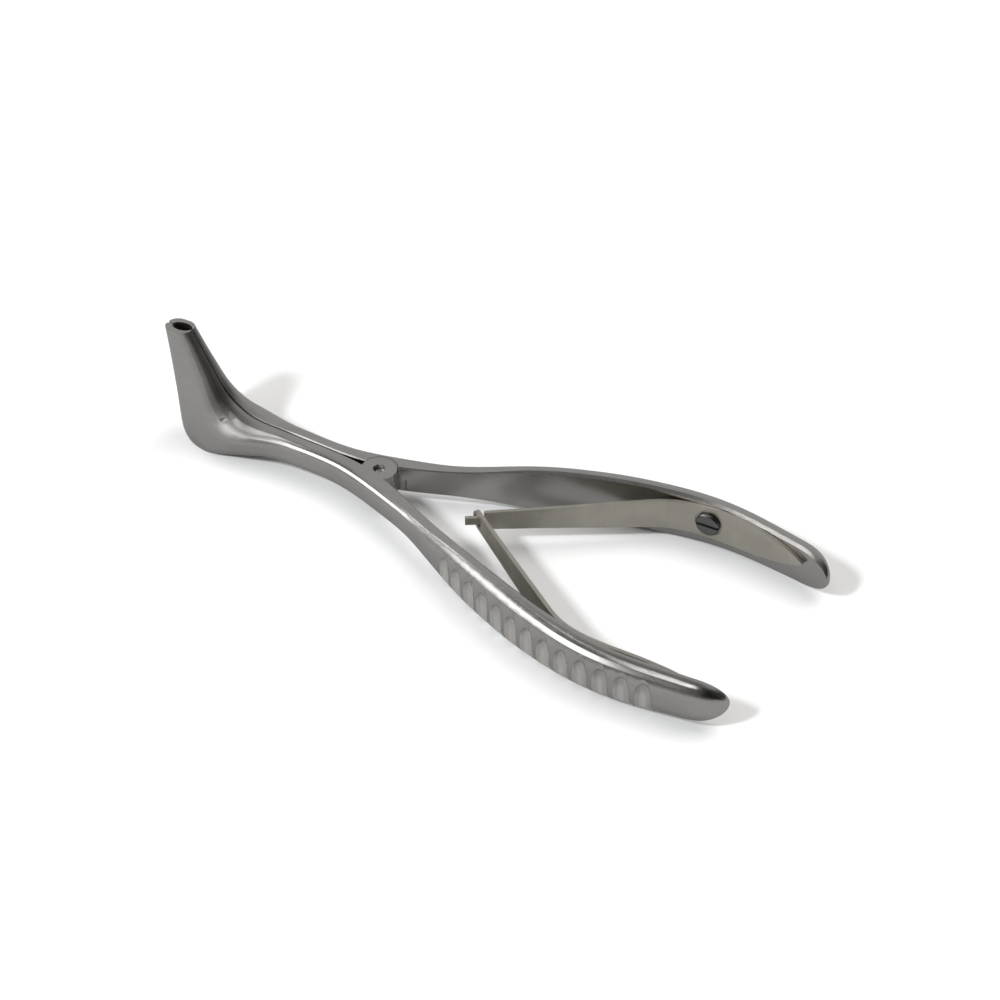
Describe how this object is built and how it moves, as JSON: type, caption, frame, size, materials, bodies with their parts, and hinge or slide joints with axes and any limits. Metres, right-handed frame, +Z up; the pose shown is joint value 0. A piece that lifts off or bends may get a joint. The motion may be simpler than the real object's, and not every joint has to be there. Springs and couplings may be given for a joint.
{
  "type": "nasal speculum",
  "caption": "Nasal speculum with half-funnel blades, a screwed half-lap joint, fluted sprung handles and two crossing leaf springs.",
  "frame": {"origin": "on the table, under the middle of the length and in the split plane between the arms", "axes": "+X from the blades to the handles, +Y to the far arm, +Z up from the table along the raised blades"},
  "size_m": [0.1618, 0.0616, 0.0294],
  "materials": {
    "arm_steel": "satin forged stainless steel, brushed along its length",
    "pivot_steel": "turned and polished",
    "leaf_steel": "matte spring steel",
    "screw_steel": "polished dark head"
  },
  "bodies": {
    "near_arm": {"near_arm": "arm_steel", "pivot_screw": "pivot_steel", "near_spring_screw": "screw_steel"},
    "far_arm": {"far_arm": "arm_steel", "far_spring_screw": "screw_steel"},
    "near_spring": {"near_spring": "leaf_steel"},
    "far_spring": {"far_spring": "leaf_steel"}
  },
  "joints": [
    {"name": "arm_pivot", "type": "hinge", "parent": "near_arm", "child": "far_arm", "pos_m": [-0.0224, 0, 0.00665], "axis": [0, 0, 1], "range_deg": [-20, 0], "stiffness_Nm_per_rad": 1, "springref_deg": 8.59},
    {"name": "near_spring_flex", "type": "hinge", "parent": "near_arm", "child": "near_spring", "pos_m": [0.0408, -0.0244, 0.00665], "axis": [0, 0, 1], "range_deg": [0, 6.7], "deforming": ["near_spring"]},
    {"name": "far_spring_flex", "type": "hinge", "parent": "far_arm", "child": "far_spring", "pos_m": [0.0408, 0.0244, 0.00665], "axis": [0, 0, 1], "range_deg": [-6.7, 0], "deforming": ["far_spring"]}
  ],
  "couplings": [
    {"joint": "near_spring_flex", "follows": "arm_pivot", "ratio": -0.335},
    {"joint": "far_spring_flex", "follows": "arm_pivot", "ratio": 0.335}
  ]
}
